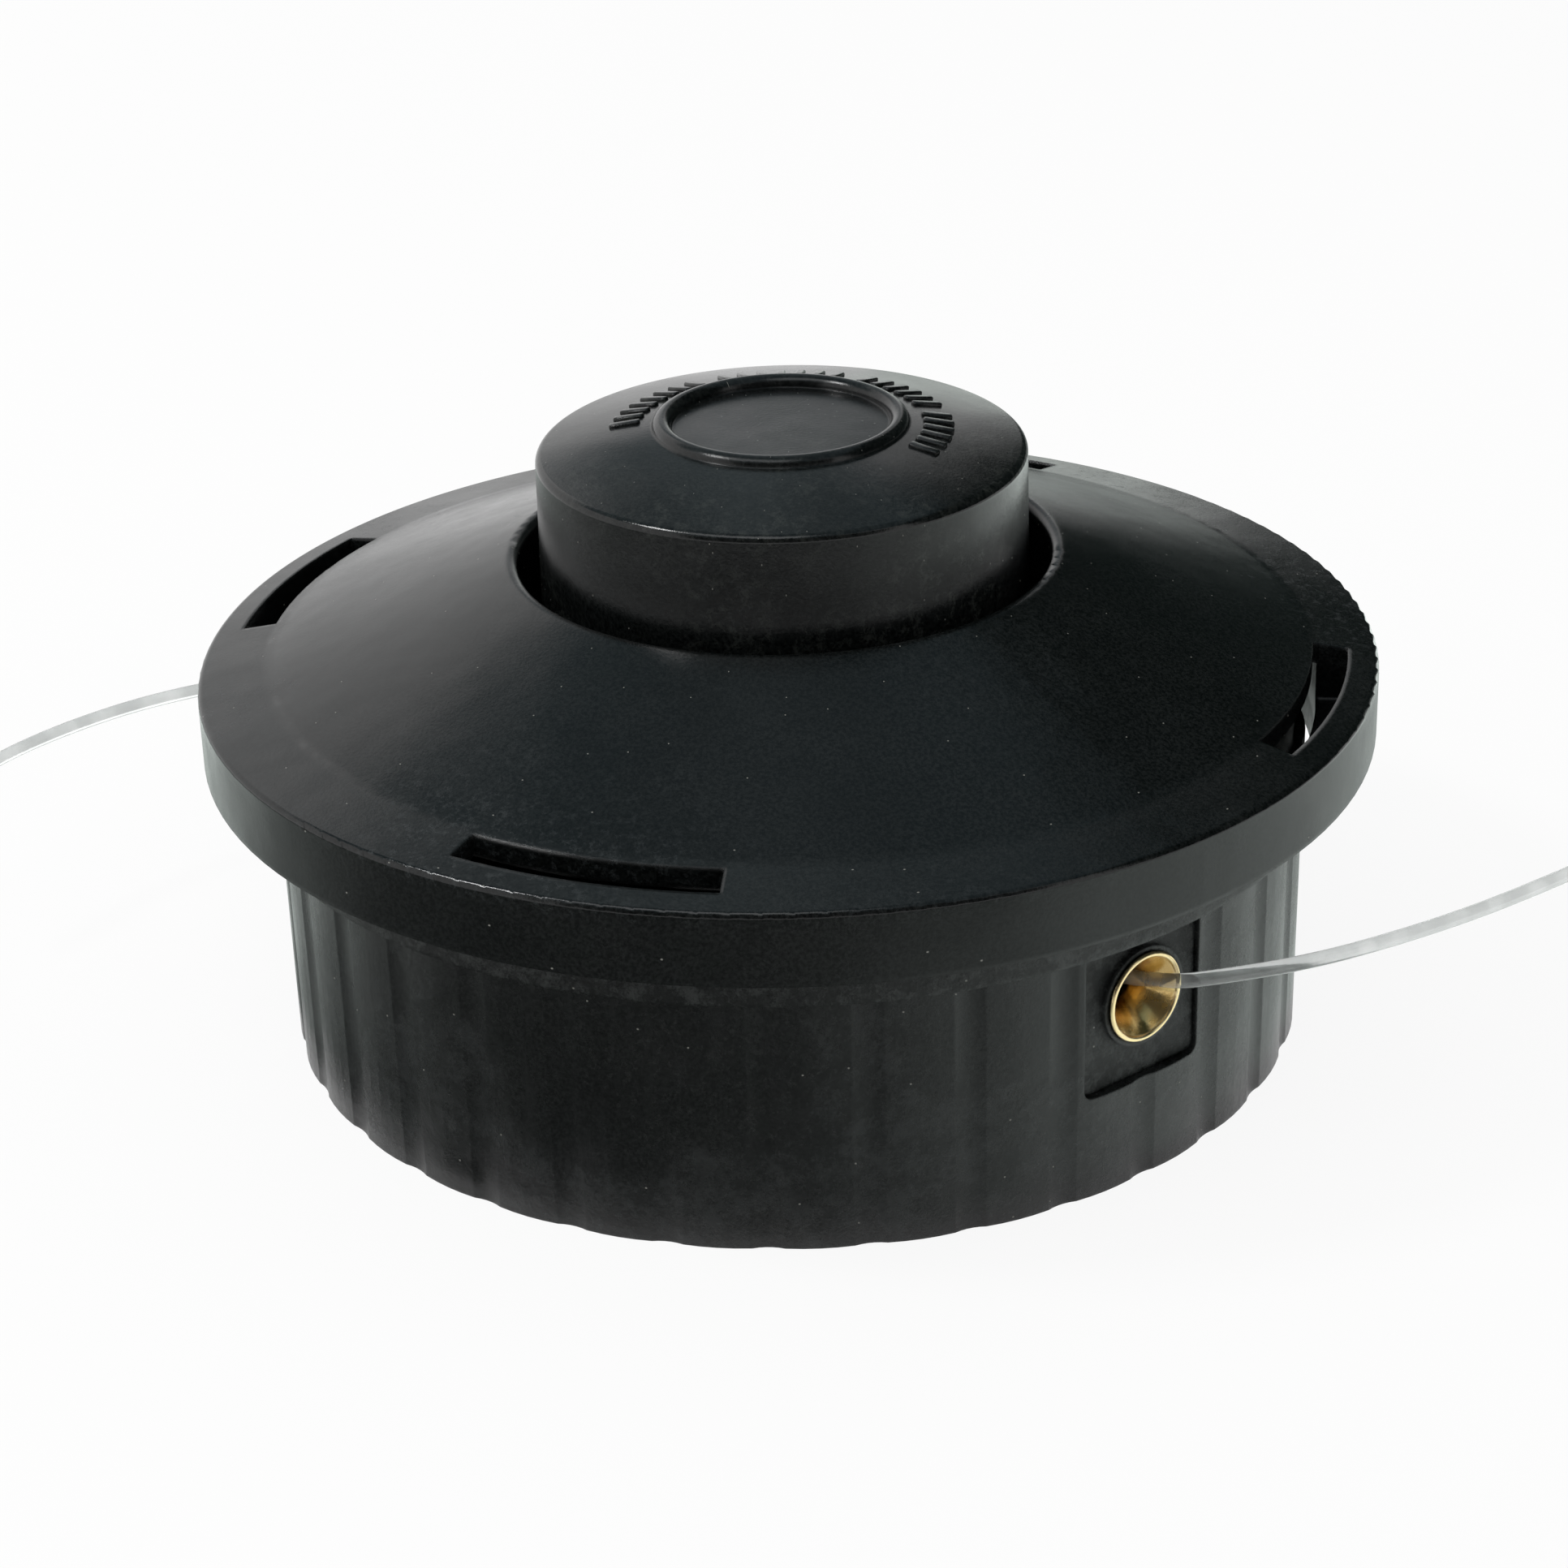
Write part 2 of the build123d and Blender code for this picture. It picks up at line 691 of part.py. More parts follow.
for path, end in [(right_path, line_end_right), (left_path, line_end_left)]:
    length = path.wire().length
    section = math.pi * (line_diameter / 2) ** 2
    print(f"line end: length {length:.2f}, volume {end.part.volume:.2f}, section times length {section * length:.2f}")
print("bend radii right", [round(radius, 1) for radius in route_radii(line_route_right)])
print("bend radii left", [round(radius, 1) for radius in route_radii(line_route_left)])

# Labels and files
os.makedirs("parts", exist_ok=True)
pieces = {
    "housing": housing,
    "cover": cover,
    "line_eyelet_right": eyelet,
    "line_eyelet_left": opposite_eyelet,
    "spool": spool,
    "bump_knob": bump_knob,
    "knob_screw": knob_screw,
    "knob_screw_washer": knob_screw_washer,
    "shaft_nut": shaft_nut,
    "spring_foot_washer": spring_foot_washer,
    "spring": spring,
    "spring_seat": spring_seat,
    "winding_upper": winding_upper,
    "winding_lower": winding_lower,
    "line_end_right": line_end_right,
    "line_end_left": line_end_left,
}
for name, piece in pieces.items():
    piece.part.label = name
    export_step(piece.part, f"parts/{name}.step")
    print(name, f"{piece.part.volume:.0f} mm3, {len(piece.part.solids())} solid")
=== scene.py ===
import math
from collections import namedtuple

import bmesh
import bpy
from mathutils import Matrix, Vector


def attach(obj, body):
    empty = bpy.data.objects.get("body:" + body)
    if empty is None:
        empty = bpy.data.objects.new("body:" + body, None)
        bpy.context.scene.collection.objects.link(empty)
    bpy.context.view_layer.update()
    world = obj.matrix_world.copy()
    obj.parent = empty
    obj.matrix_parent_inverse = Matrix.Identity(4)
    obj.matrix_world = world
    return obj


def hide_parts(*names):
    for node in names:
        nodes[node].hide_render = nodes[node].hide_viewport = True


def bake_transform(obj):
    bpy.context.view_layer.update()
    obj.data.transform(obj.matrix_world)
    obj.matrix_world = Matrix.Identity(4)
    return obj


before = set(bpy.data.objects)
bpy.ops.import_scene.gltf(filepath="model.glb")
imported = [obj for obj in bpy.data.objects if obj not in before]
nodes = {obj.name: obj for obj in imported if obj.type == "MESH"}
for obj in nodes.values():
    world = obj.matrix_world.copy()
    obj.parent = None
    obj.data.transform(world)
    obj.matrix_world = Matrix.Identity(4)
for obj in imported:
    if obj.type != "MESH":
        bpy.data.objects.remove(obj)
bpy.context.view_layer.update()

# %% [markdown]
# The camera. The photograph looks down on the head by about 25 degrees from a little under half a
# metre away, and its rings give away the lens: a nearly long lens, tilted by under two degrees. The
# head's X axis runs through its two eyelets, and the camera stands 38 degrees to one side of the
# right-hand eyelet. A tilt and a small lens shift are set once here, instead of moving the head to
# suit the picture.

# %% Camera from the fitted view
VIEW_TURN = math.radians(51.6)
VIEW_DOWN = math.radians(25.48)
VIEW_ROLL = math.radians(-1.77)
AIM_HEIGHT = 0.02627
AIM_SIDE = 0.00242
DISTANCE = 0.420
LENS = 85.38
SHIFT_ACROSS = 0.00947
SHIFT_UP = -0.0046


def from_view(x, y, z=0.0):
    """Turns a place given as right of, and away from, the camera into the head's own frame."""
    return Vector((
        x * math.cos(VIEW_TURN) - y * math.sin(VIEW_TURN),
        x * math.sin(VIEW_TURN) + y * math.cos(VIEW_TURN),
        z,
    ))


def add_camera():
    right = from_view(1, 0)
    forward = from_view(0, math.cos(VIEW_DOWN), -math.sin(VIEW_DOWN))
    up = right.cross(forward)
    rolled_right = right * math.cos(VIEW_ROLL) + up * math.sin(VIEW_ROLL)
    rolled_up = up * math.cos(VIEW_ROLL) - right * math.sin(VIEW_ROLL)
    place = from_view(-AIM_SIDE, 0, AIM_HEIGHT) - forward * DISTANCE
    data = bpy.data.cameras.new("photo_camera")
    data.sensor_width = 36
    data.lens = LENS
    data.shift_x = SHIFT_ACROSS
    data.shift_y = SHIFT_UP
    data.clip_start = 0.01
    camera = bpy.data.objects.new("photo_camera", data)
    columns = Matrix((rolled_right, rolled_up, -forward)).transposed()
    camera.matrix_world = Matrix.Translation(place) @ columns.to_4x4()
    bpy.context.scene.collection.objects.link(camera)
    bpy.context.scene.camera = camera
    print("camera at", [round(v, 4) for v in place])
    return camera


add_camera()

# %% [markdown]
# The two free line ends. Each is a stiff nylon line of 1.6 mm that springs out of its eyelet, turns
# the way the head spins and runs past the edge of the picture. One open NURBS curve with a round
# bevel keeps the whole length smooth, and its points, in millimetres here, are the same ones that
# the CAD tube was bent along. The bevel is one metre deep and each point's radius scales it down to
# the line's own.

# %% Line ends
LINE_DIAMETER = 0.0016
ROUTE_RIGHT = [
    (49.1, -1.07, 21.7), (57.0, 2.05, 21.9), (60.8, 9.1, 22.0), (63.9, 17.0, 21.9),
    (66.3, 26.0, 22.0), (68.0, 37.5, 21.9), (68.9, 49.5, 22.0), (68.9, 61.0, 21.8),
    (68.1, 72.0, 21.3),
]
ROUTE_LEFT = [
    (-49.1, 1.07, 21.7), (-57.0, -2.05, 21.9), (-62.2, -8.2, 22.0), (-68.8, -17.3, 21.9),
    (-74.6, -27.2, 21.7), (-77.4, -38.5, 21.6), (-77.6, -50.0, 21.4), (-75.4, -61.2, 21.3),
    (-71.6, -71.0, 21.0),
]


def add_line_end(name, route, node):
    curve = bpy.data.curves.new(name, "CURVE")
    curve.dimensions = "3D"
    curve.bevel_depth = 1.0
    curve.bevel_resolution = 6
    curve.resolution_u = 16
    curve.use_fill_caps = True
    spline = curve.splines.new("NURBS")
    spline.points.add(len(route) - 1)
    for point, place in zip(spline.points, route):
        point.co = (*(value / 1000 for value in place), 1)
        point.radius = LINE_DIAMETER / 2
    spline.order_u = 3
    spline.use_endpoint_u = True
    line = bpy.data.objects.new(name, curve)
    bpy.context.scene.collection.objects.link(line)
    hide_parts(node)
    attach(line, "housing")
    print(name, "points", len(route))
    return line


line_right = add_line_end("free_line_right", ROUTE_RIGHT, "line_end_right")
line_left = add_line_end("free_line_left", ROUTE_LEFT, "line_end_left")

# %% [markdown]
# The floor and the daylight. A wide pale floor carries the head and its soft shadow, and runs on
# past the picture on every side. Seen directly, in a mirror or through clear nylon, the floor is
# nine parts plain white and one part lit surface, and that part is enough to keep the shadow. The
# world does the same: it is white where it is seen, and only about half as strong where it lights
# the head.

# %% Floor and daylight
FLOOR_SIZE = 4.0
FLOOR_DROP = 0.00005
FLOOR_COLOUR = (0.93, 0.93, 0.93, 1)
FLOOR_WHITE_SHARE = 0.90
DAYLIGHT = 0.55


def principled(material):
    return material.node_tree.nodes["Principled BSDF"]


def seen_rays(tree):
    """One for camera, mirror and see-through rays, and nought for the rays that only carry light."""
    path = tree.nodes.new("ShaderNodeLightPath")
    seen = path.outputs["Is Camera Ray"]
    for kind in ("Is Glossy Ray", "Is Transmission Ray"):
        either = tree.nodes.new("ShaderNodeMath")
        either.operation = "MAXIMUM"
        tree.links.new(seen, either.inputs[0])
        tree.links.new(path.outputs[kind], either.inputs[1])
        seen = either.outputs[0]
    return seen


def add_floor():
    bpy.ops.mesh.primitive_plane_add(size=FLOOR_SIZE, location=(0, 0, -FLOOR_DROP))
    floor = bpy.context.object
    floor.name = "studio_floor"
    material = bpy.data.materials.new("studio_floor")
    material.use_nodes = True
    tree = material.node_tree
    surface = principled(material)
    surface.inputs["Base Color"].default_value = FLOOR_COLOUR
    surface.inputs["Roughness"].default_value = 0.9
    surface.inputs["Specular IOR Level"].default_value = 0.1
    share = tree.nodes.new("ShaderNodeMath")
    share.operation = "MULTIPLY"
    share.inputs[1].default_value = FLOOR_WHITE_SHARE
    tree.links.new(seen_rays(tree), share.inputs[0])
    glow = tree.nodes.new("ShaderNodeEmission")
    glow.inputs["Color"].default_value = (1, 1, 1, 1)
    glow.inputs["Strength"].default_value = 1.0
    mix = tree.nodes.new("ShaderNodeMixShader")
    tree.links.new(share.outputs[0], mix.inputs["Fac"])
    tree.links.new(surface.outputs["BSDF"], mix.inputs[1])
    tree.links.new(glow.outputs["Emission"], mix.inputs[2])
    tree.links.new(mix.outputs["Shader"], tree.nodes["Material Output"].inputs["Surface"])
    floor.data.materials.append(material)
    print("floor", FLOOR_SIZE, "m wide")
    return floor


def add_world():
    world = bpy.data.worlds.new("studio")
    world.use_nodes = True
    bpy.context.scene.world = world
    tree = world.node_tree
    back = tree.nodes["Background"]
    back.inputs["Color"].default_value = (1, 1, 1, 1)
    strength = tree.nodes.new("ShaderNodeMapRange")
    strength.inputs["To Min"].default_value = DAYLIGHT
    strength.inputs["To Max"].default_value = 1.0
    tree.links.new(seen_rays(tree), strength.inputs["Value"])
    tree.links.new(strength.outputs["Result"], back.inputs["Strength"])
    print("daylight", DAYLIGHT)
    return world


add_floor()
add_world()

# %% [markdown]
# The lamps. Black plastic shows little colour of its own, so the lamps do two things only. A wide
# softbox behind on the left fills the shadows, and is kept out of the reflections, where it would
# be a hard white square. A small strong lamp on the left draws the thin bright lines along the
# round edges, and a weak wide one above the front gives those edges a second, softer line.

# %% Lamps
HEAD = Vector((0, 0, 0.035))
LAMPS = {
    # name: azimuth, elevation, distance, width, height, watts
    "back_left_softbox": (-27, 17, 1.0, 0.55, 0.40, 0.75),
    "left_key_lamp": (-97, 53, 1.0, 0.20, 0.15, 2.8),
    "front_top_softbox": (-150, 66, 1.0, 0.7, 0.4, 1.6),
}


def direction(azimuth, elevation):
    """Unit arrow: azimuth 0 points away from the camera and 90 to its right, elevation is above the floor."""
    turn = math.radians(azimuth)
    rise = math.radians(elevation)
    return from_view(math.sin(turn) * math.cos(rise), math.cos(turn) * math.cos(rise), math.sin(rise))


def faced(thing, azimuth, elevation, distance):
    """Stands a lamp or card in that direction from the head, facing it."""
    arrow = direction(azimuth, elevation)
    thing.location = HEAD + arrow * distance
    thing.rotation_euler = (-arrow).to_track_quat("-Z", "Y").to_euler()


def add_lamp(name, azimuth, elevation, distance, width, height, watts):
    data = bpy.data.lights.new(name, "AREA")
    data.shape = "RECTANGLE"
    data.size = width
    data.size_y = height
    data.energy = watts
    lamp = bpy.data.objects.new(name, data)
    faced(lamp, azimuth, elevation, distance)
    bpy.context.scene.collection.objects.link(lamp)
    print(name, watts, "W")
    return lamp


lamps = {name: add_lamp(name, *values) for name, values in LAMPS.items()}
lamps["back_left_softbox"].visible_glossy = False

# %% [markdown]
# What the black plastic mirrors. A glossy black part is lit twice: a little by the lamps, and
# mostly by what stands round it. Soft-edged cards that only reflections see stand for the dim parts
# of the room. They are grey overhead and behind, with paler patches in the middle, and nearly black
# on the right and on the camera's side.

# %% Cards for the reflections
CARDS = {
    # name: azimuth, elevation, distance, width, height, colour, feather
    "overhead_card": (-20, 88, 1.5, 3.6, 3.5, (0.21, 0.28, 0.31), 0.35),
    "middle_card": (-6, 46, 1.15, 0.62, 1.24, (0.22, 0.27, 0.29), 0.19),
    "pale_patch_card": (-4, 48, 1.12, 0.28, 1.0, (0.38, 0.46, 0.49), 0.13),
    "low_middle_card": (5, 24, 1.1, 0.26, 0.40, (0.30, 0.33, 0.34), 0.10),
    "far_window_card": (8, 5, 0.95, 0.22, 0.22, (1.25, 1.35, 1.28), 0.07),
    "right_card": (66, 0, 1.0, 3.10, 5.6, (0.022, 0.032, 0.030), 0.42),
    "front_card": (180, 22, 1.3, 2.6, 1.4, (0.06, 0.06, 0.06), 0.1),
}


def glow_material(name, colour):
    """Plain emission whose edges can be feathered; returns the material, its tree and its two main nodes."""
    material = bpy.data.materials.new(name)
    material.use_nodes = True
    tree = material.node_tree
    tree.nodes.remove(principled(material))
    glow = tree.nodes.new("ShaderNodeEmission")
    glow.inputs["Color"].default_value = (*colour, 1)
    clear = tree.nodes.new("ShaderNodeBsdfTransparent")
    mix = tree.nodes.new("ShaderNodeMixShader")
    tree.links.new(clear.outputs[0], mix.inputs[1])
    tree.links.new(glow.outputs[0], mix.inputs[2])
    tree.links.new(mix.outputs[0], tree.nodes["Material Output"].inputs["Surface"])
    return material, tree, glow, mix


def only_mirrored(card):
    card.visible_camera = False
    card.visible_diffuse = False
    card.visible_shadow = False
    card.visible_transmission = False


def edge_fade(tree, coordinate, half, feather):
    """One inside the card, falling to nought over the feather at both ends of one of its sides."""
    size = tree.nodes.new("ShaderNodeMath")
    size.operation = "ABSOLUTE"
    tree.links.new(coordinate, size.inputs[0])
    fade = tree.nodes.new("ShaderNodeMapRange")
    fade.interpolation_type = "SMOOTHSTEP"
    fade.inputs["From Min"].default_value = half
    fade.inputs["From Max"].default_value = half - feather
    tree.links.new(size.outputs[0], fade.inputs["Value"])
    return fade.outputs["Result"]


def add_card(name, azimuth, elevation, distance, width, height, colour, feather):
    bm = bmesh.new()
    bmesh.ops.create_grid(bm, x_segments=1, y_segments=1, size=0.5)
    bmesh.ops.scale(bm, vec=(width, height, 1), verts=bm.verts)
    mesh = bpy.data.meshes.new(name)
    bm.to_mesh(mesh)
    bm.free()
    card = bpy.data.objects.new(name, mesh)
    bpy.context.scene.collection.objects.link(card)
    faced(card, azimuth, elevation, distance)
    material, tree, glow, mix = glow_material(name, colour)
    sides = tree.nodes.new("ShaderNodeSeparateXYZ")
    tree.links.new(tree.nodes.new("ShaderNodeTexCoord").outputs["Object"], sides.inputs[0])
    both = tree.nodes.new("ShaderNodeMath")
    both.operation = "MULTIPLY"
    tree.links.new(edge_fade(tree, sides.outputs[0], width / 2, feather), both.inputs[0])
    tree.links.new(edge_fade(tree, sides.outputs[1], height / 2, feather), both.inputs[1])
    tree.links.new(both.outputs[0], mix.inputs["Fac"])
    mesh.materials.append(material)
    only_mirrored(card)
    return card


for name, values in CARDS.items():
    add_card(name, *values)
print("cards", len(CARDS))

# %% [markdown]
# The floor that the walls mirror. The skirt, the drum and the knob stand upright, so they mirror
# the floor round the head, and that floor isn't evenly bright: it is palest behind on the right and
# darkest towards the camera. Flat rings just above the floor, again seen by reflections alone,
# carry that brightness as one grey ramp each; the two near ones run once round the head, and the
# far one covers only a short arc behind on the right.

# %% Rings on the floor
RING_HEIGHT = 0.0005
RING_STEPS = 60
RING_TINT = (0.46, 0.50, 0.48)
RING_STRENGTH = 2.0
NEAR_SHADES = [
    (-180, 0.90), (-150, 1.00), (-125, 1.00), (-105, 0.90), (-86, 0.50), (-60, 0.17), (-35, 0.13),
    (0, 0.23), (22, 0.72), (45, 1.22), (88, 1.05), (110, 0.80), (132, 0.70), (160, 0.75),
    (180, 0.90),
]
NEXT_SHADES = [
    (-180, 0.45), (-150, 0.50), (-125, 0.46), (-103, 0.42), (-82, 0.26), (-60, 0.18), (-41, 0.15),
    (-20, 0.09), (0, 0.16), (21, 0.36), (45, 0.9), (74, 1.4), (104, 2.0), (130, 1.8),
    (164, 0.60), (180, 0.45),
]
FAR_SHADES = [(-180, 0.6), (120, 0.3), (160, 0.34), (170, 0.45), (176, 0.7)]


def view_angle(tree):
    """Angle round the head as a share from 0 to 1, where one half points towards the camera."""
    place = tree.nodes.new("ShaderNodeVectorRotate")
    place.rotation_type = "Z_AXIS"
    place.inputs["Angle"].default_value = -VIEW_TURN
    tree.links.new(tree.nodes.new("ShaderNodeTexCoord").outputs["Object"], place.inputs["Vector"])
    sides = tree.nodes.new("ShaderNodeSeparateXYZ")
    tree.links.new(place.outputs[0], sides.inputs[0])
    away = tree.nodes.new("ShaderNodeMath")
    away.operation = "MULTIPLY"
    away.inputs[1].default_value = -1
    tree.links.new(sides.outputs[1], away.inputs[0])
    angle = tree.nodes.new("ShaderNodeMath")
    angle.operation = "ARCTAN2"
    tree.links.new(sides.outputs[0], angle.inputs[0])
    tree.links.new(away.outputs[0], angle.inputs[1])
    whole = tree.nodes.new("ShaderNodeMapRange")
    whole.inputs["From Min"].default_value = -math.pi
    whole.inputs["From Max"].default_value = math.pi
    tree.links.new(angle.outputs[0], whole.inputs["Value"])
    return whole.outputs["Result"]


def add_floor_ring(name, inner, outer, first, last, shades):
    """Part of a ring; shades are grey levels by angle, with 0 towards the camera and + to its right."""
    count = RING_STEPS + 1
    turns = [math.radians(first + (last - first) * step / RING_STEPS) for step in range(count)]
    points = [
        from_view(math.sin(turn) * radius, -math.cos(turn) * radius, RING_HEIGHT)
        for radius in (inner, outer) for turn in turns
    ]
    faces = [(step, step + 1, step + 1 + count, step + count) for step in range(RING_STEPS)]
    mesh = bpy.data.meshes.new(name)
    mesh.from_pydata(points, [], faces)
    ring = bpy.data.objects.new(name, mesh)
    bpy.context.scene.collection.objects.link(ring)
    material, tree, glow, mix = glow_material(name, (1, 1, 1))
    mix.inputs["Fac"].default_value = 1.0
    ramp = tree.nodes.new("ShaderNodeValToRGB")
    ramp.color_ramp.interpolation = "EASE"
    stops = ramp.color_ramp.elements
    while len(stops) < len(shades):
        stops.new(0.5)
    for stop, (turn, grey) in zip(stops, shades):
        stop.position = (turn + 180) / 360
        stop.color = (*(grey * share for share in RING_TINT), 1)
    tree.links.new(view_angle(tree), ramp.inputs["Fac"])
    tree.links.new(ramp.outputs["Color"], glow.inputs["Color"])
    glow.inputs["Strength"].default_value = RING_STRENGTH
    mesh.materials.append(material)
    only_mirrored(ring)
    return ring


add_floor_ring("near_floor_ring", 0.059, 0.14, -180, 180, NEAR_SHADES)
add_floor_ring("next_floor_ring", 0.14, 0.21, -180, 180, NEXT_SHADES)
add_floor_ring("far_floor_ring", 0.21, 1.6, 120, 176, FAR_SHADES)
print("rings on the floor stand")

# %% [markdown]
# Black moulded nylon. The drum, the cover and the knob come from steel moulds that leave a satin
# skin. It isn't one flat black: the melt cooled in soft cloudy patches, the surface has a fine
# grain, and there are rubbed marks and specks of dust. A few small node helpers keep each of those
# layers readable, and all of them are driven by the piece's own coordinates, so they stay in place
# from every side.

# %% Node helpers
SKIN_RADIUS = 0.05


class Finish:
    """A material with short calls for the nodes that this head's finishes share."""

    def __init__(self, name):
        self.material = bpy.data.materials.new(name)
        self.material.use_nodes = True
        self.tree = self.material.node_tree
        self.surface = principled(self.material)
        self.place = self.tree.nodes.new("ShaderNodeTexCoord").outputs["Object"]

    def join(self, source, target):
        self.tree.links.new(source, target)

    def feed(self, value, socket):
        """Gives a socket a number, a colour, or a link from another socket."""
        if isinstance(value, tuple):
            socket.default_value = (*value, 1)
        elif isinstance(value, (int, float)):
            socket.default_value = value
        else:
            self.join(value, socket)

    def calc(self, kind, first, second=0.5):
        node = self.tree.nodes.new("ShaderNodeMath")
        node.operation = kind
        self.feed(first, node.inputs[0])
        self.feed(second, node.inputs[1])
        return node.outputs[0]

    def plus(self, first, second):
        return self.calc("ADD", first, second)

    def minus(self, first, second):
        return self.calc("SUBTRACT", first, second)

    def times(self, first, second):
        return self.calc("MULTIPLY", first, second)

    def more(self, first, second):
        """The greater of two values."""
        return self.calc("MAXIMUM", first, second)

    def noise(self, scale, detail=3, roughness=0.5, where=None):
        node = self.tree.nodes.new("ShaderNodeTexNoise")
        node.inputs["Scale"].default_value = scale
        node.inputs["Detail"].default_value = detail
        node.inputs["Roughness"].default_value = roughness
        self.join(where or self.place, node.inputs["Vector"])
        return node.outputs["Fac"]

    def steps(self, value, low, high, to_low=0.0, to_high=1.0):
        """Smooth step of a value between two limits."""
        node = self.tree.nodes.new("ShaderNodeMapRange")
        node.interpolation_type = "SMOOTHSTEP"
        node.inputs["From Min"].default_value = low
        node.inputs["From Max"].default_value = high
        node.inputs["To Min"].default_value = to_low
        node.inputs["To Max"].default_value = to_high
        self.join(value, node.inputs["Value"])
        return node.outputs["Result"]

    def mix(self, share, first, second):
        """Blend of two colours, each a tuple or a socket."""
        node = self.tree.nodes.new("ShaderNodeMix")
        node.data_type = "RGBA"
        self.join(share, node.inputs["Factor"])
        self.feed(first, node.inputs[6])
        self.feed(second, node.inputs[7])
        return node.outputs[2]

    def vector(self, x, y, z):
        node = self.tree.nodes.new("ShaderNodeCombineXYZ")
        for value, socket in zip((x, y, z), node.inputs):
            self.feed(value, socket)
        return node.outputs[0]

    def bump(self, height, distance, under=None):
        node = self.tree.nodes.new("ShaderNodeBump")
        node.inputs["Strength"].default_value = 1.0
        node.inputs["Distance"].default_value = distance
        self.join(height, node.inputs["Height"])
        if under is not None:
            self.join(under, node.inputs["Normal"])
        return node.outputs["Normal"]

    def places(self):
        """The three coordinates of the shading point."""
        parts = self.tree.nodes.new("ShaderNodeSeparateXYZ")
        self.join(self.place, parts.inputs[0])
        return parts.outputs[0], parts.outputs[1], parts.outputs[2]

    def length(self, first, second):
        return self.calc("SQRT", self.plus(self.times(first, first), self.times(second, second)))

    def cylinder(self):
        """Radius, angle and height of the shading point round the turning axis."""
        x, y, z = self.places()
        return self.length(x, y), self.calc("ARCTAN2", y, x), z

    def skin(self):
        """Flat coordinates of a turned skin, in metres: once round it, and down along its section."""
        radius, angle, height = self.cylinder()
        return self.vector(self.times(angle, SKIN_RADIUS), self.minus(radius, height), 0.0)

    def soft_edge(self, radius):
        """Normals that run round the moulded edges instead of breaking at them."""
        node = self.tree.nodes.new("ShaderNodeBevel")
        node.samples = 6
        node.inputs["Radius"].default_value = radius
        return node.outputs["Normal"]


print("node helpers for the finishes")

# %% [markdown]
# The turned round edges. The bright line along the cover's rim and the knob's edge is a mirror
# picture of a small lamp, less than a millimetre wide, and the flat facets of a mesh would break it
# into dashes. Here the normal is worked out again from the edge's own section: below its centre it
# points straight out, round the edge it turns with the height, and on the top face it keeps that
# face's slope.

# %% Exact normals for a turned edge
RoundEdge = namedtuple("RoundEdge", "centre_radius centre_height size top_slope from_radius")
COVER_RIM = RoundEdge(0.0643, 0.0420145, size=0.0007, top_slope=0.1795, from_radius=0.0636)
KNOB_RIM = RoundEdge(0.0258, 0.065204, size=0.0009, top_slope=0.2605, from_radius=0.0256)
FADE_INWARD = 0.0005
FADE_BELOW = (0.0016, 0.0008)
POLISH_INWARD = 0.0002
POLISH_BELOW = 0.0003


def turned_edge(finish, under, edge):
    """Returns the normals under it with the edge's own laid over them, and how far a point is on the edge."""
    x, y, z = finish.places()
    radius = finish.length(x, y)
    rise = finish.more(finish.minus(z, edge.centre_height), 0.0)
    left = finish.minus(edge.size ** 2, finish.times(rise, rise))
    round_part = finish.calc("SQRT", finish.more(left, 0.0))
    out = finish.calc("DIVIDE", finish.more(round_part, finish.times(rise, edge.top_slope)), radius)
    exact = finish.tree.nodes.new("ShaderNodeVectorTransform")
    exact.vector_type = "NORMAL"
    exact.convert_from = "OBJECT"
    exact.convert_to = "WORLD"
    finish.join(finish.vector(finish.times(x, out), finish.times(y, out), rise), exact.inputs[0])
    high = finish.steps(z, edge.centre_height - FADE_BELOW[0], edge.centre_height - FADE_BELOW[1])
    share = finish.times(high, finish.steps(radius, edge.from_radius - FADE_INWARD, edge.from_radius))
    node = finish.tree.nodes.new("ShaderNodeMix")
    node.data_type = "VECTOR"
    finish.join(share, node.inputs["Factor"])
    finish.join(under, node.inputs[4])
    finish.join(exact.outputs[0], node.inputs[5])
    polished = finish.times(
        finish.steps(radius, edge.centre_radius, edge.centre_radius + POLISH_INWARD),
        finish.steps(z, edge.centre_height - POLISH_BELOW, edge.centre_height),
    )
    return node.outputs[1], polished


print("rims", COVER_RIM, KNOB_RIM)

# %% [markdown]
# The layers of the nylon. Clouds shift the black and the gloss; a slow swell bends the reflections
# the way sink marks do; a fine grain takes the mirror edge off; specks are the bright grains of
# dust that any black part collects. They all belong to the moulding's skin, so each moulding starts
# from them and then gets its own marks.

# %% Nylon
NYLON_SHINE = 0.375
GRAINS_PER_METRE = 2600
DEEP_BLACK = (0.0012, 0.0017, 0.0017)
GRAIN_BLACK = (0.0110, 0.0125, 0.0122)
DUST_COLOUR = (0.20, 0.20, 0.18)
DUST_PER_METRE = 210
DUST_SIZE = (0.016, 0.024)
DUST_CHANCE = 0.78


def add_dust(finish):
    """Round specks in some of the cells of a flat pattern that is laid round the skin."""
    cells = finish.tree.nodes.new("ShaderNodeTexVoronoi")
    cells.voronoi_dimensions = "2D"
    cells.inputs["Scale"].default_value = DUST_PER_METRE
    finish.join(finish.skin(), cells.inputs["Vector"])
    near = finish.steps(cells.outputs["Distance"], *DUST_SIZE, 1.0, 0.0)
    chosen = finish.tree.nodes.new("ShaderNodeSeparateColor")
    finish.join(cells.outputs["Color"], chosen.inputs[0])
    return finish.times(near, finish.calc("GREATER_THAN", chosen.outputs[0], DUST_CHANCE))


